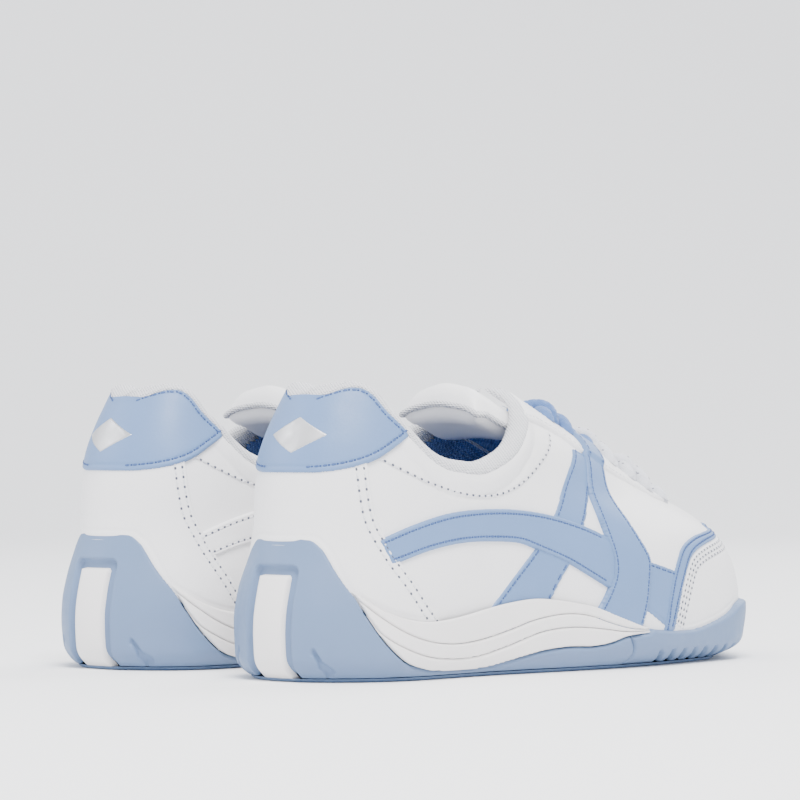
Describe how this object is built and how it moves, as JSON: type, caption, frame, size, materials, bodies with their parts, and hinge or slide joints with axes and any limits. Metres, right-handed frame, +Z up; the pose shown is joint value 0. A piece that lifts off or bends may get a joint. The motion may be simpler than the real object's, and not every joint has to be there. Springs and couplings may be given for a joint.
{
  "type": "cheer shoes",
  "caption": "Pair of low white leather cheer shoes with pale blue stripes, heel tabs and rubber outsoles, padded collars and laced throats.",
  "frame": {"origin": "centre of the pair's footprint, on the floor", "axes": "+Z up, +Y towards the toes, +X towards the right shoe's outer side"},
  "size_m": [0.1836, 0.2503, 0.1013],
  "materials": {
    "blue_rubber": "matte",
    "white_foam": "satin",
    "white_leather": "satin",
    "blue_leather": "satin",
    "padding": "matte",
    "stiffener": "matte",
    "blue_mesh": "matte",
    "board": "matte",
    "white_knit": "matte",
    "silver_foil": "satin",
    "lace_yarn": "matte"
  },
  "bodies": {
    "right_shoe": {"right_outsole": "blue_rubber", "right_midsole": "white_foam", "right_heel_strip": "white_foam", "right_heel_panel": "white_leather", "right_vamp": "white_leather", "right_quarter_lateral": "white_leather", "right_quarter_medial": "white_leather", "right_collar_foam": "padding", "right_heel_counter": "stiffener", "right_toe_puff": "stiffener", "right_lining": "blue_mesh", "right_insole_board": "board", "right_sockliner": "blue_mesh", "right_collar_binding": "white_knit", "right_heel_tab": "blue_leather", "right_eyestay": "white_leather", "right_stripe_wide": "blue_leather", "right_stripe_curved": "blue_leather", "right_stripe_diagonal": "blue_leather", "right_stripes_medial": "white_leather", "right_toe_band": "blue_leather", "right_toe_cap": "white_leather", "right_forefoot_band": "blue_leather", "right_heel_mark": "silver_foil", "right_lace": "lace_yarn"},
    "left_shoe": {"left_outsole": "blue_rubber", "left_midsole": "white_foam", "left_heel_strip": "white_foam", "left_heel_panel": "white_leather", "left_vamp": "white_leather", "left_quarter_lateral": "white_leather", "left_quarter_medial": "white_leather", "left_collar_foam": "padding", "left_heel_counter": "stiffener", "left_toe_puff": "stiffener", "left_lining": "blue_mesh", "left_insole_board": "board", "left_sockliner": "blue_mesh", "left_collar_binding": "white_knit", "left_heel_tab": "blue_leather", "left_eyestay": "white_leather", "left_stripe_wide": "blue_leather", "left_stripe_curved": "blue_leather", "left_stripe_diagonal": "blue_leather", "left_stripes_medial": "white_leather", "left_toe_band": "blue_leather", "left_toe_cap": "white_leather", "left_forefoot_band": "blue_leather", "left_heel_mark": "silver_foil", "left_lace": "lace_yarn"},
    "right_tongue": {"right_tongue": "white_leather", "right_tongue_lining": "blue_mesh"},
    "left_tongue": {"left_tongue": "white_leather", "left_tongue_lining": "blue_mesh"}
  },
  "joints": [
    {"name": "left_shoe_lift", "type": "slide", "parent": "right_shoe", "child": "left_shoe", "axis": [0, 0, 1], "range_m": [0, 0.15]},
    {"name": "right_tongue_tilt", "type": "hinge", "parent": "right_shoe", "child": "right_tongue", "pos_m": [0.04625, 0.064, 0.053], "axis": [1, 0, 0], "range_deg": [0, 8], "stiffness_Nm_per_rad": 0.5},
    {"name": "left_tongue_tilt", "type": "hinge", "parent": "left_shoe", "child": "left_tongue", "pos_m": [-0.04625, 0.067, 0.053], "axis": [1, 0, 0], "range_deg": [0, 8], "stiffness_Nm_per_rad": 0.5}
  ]
}
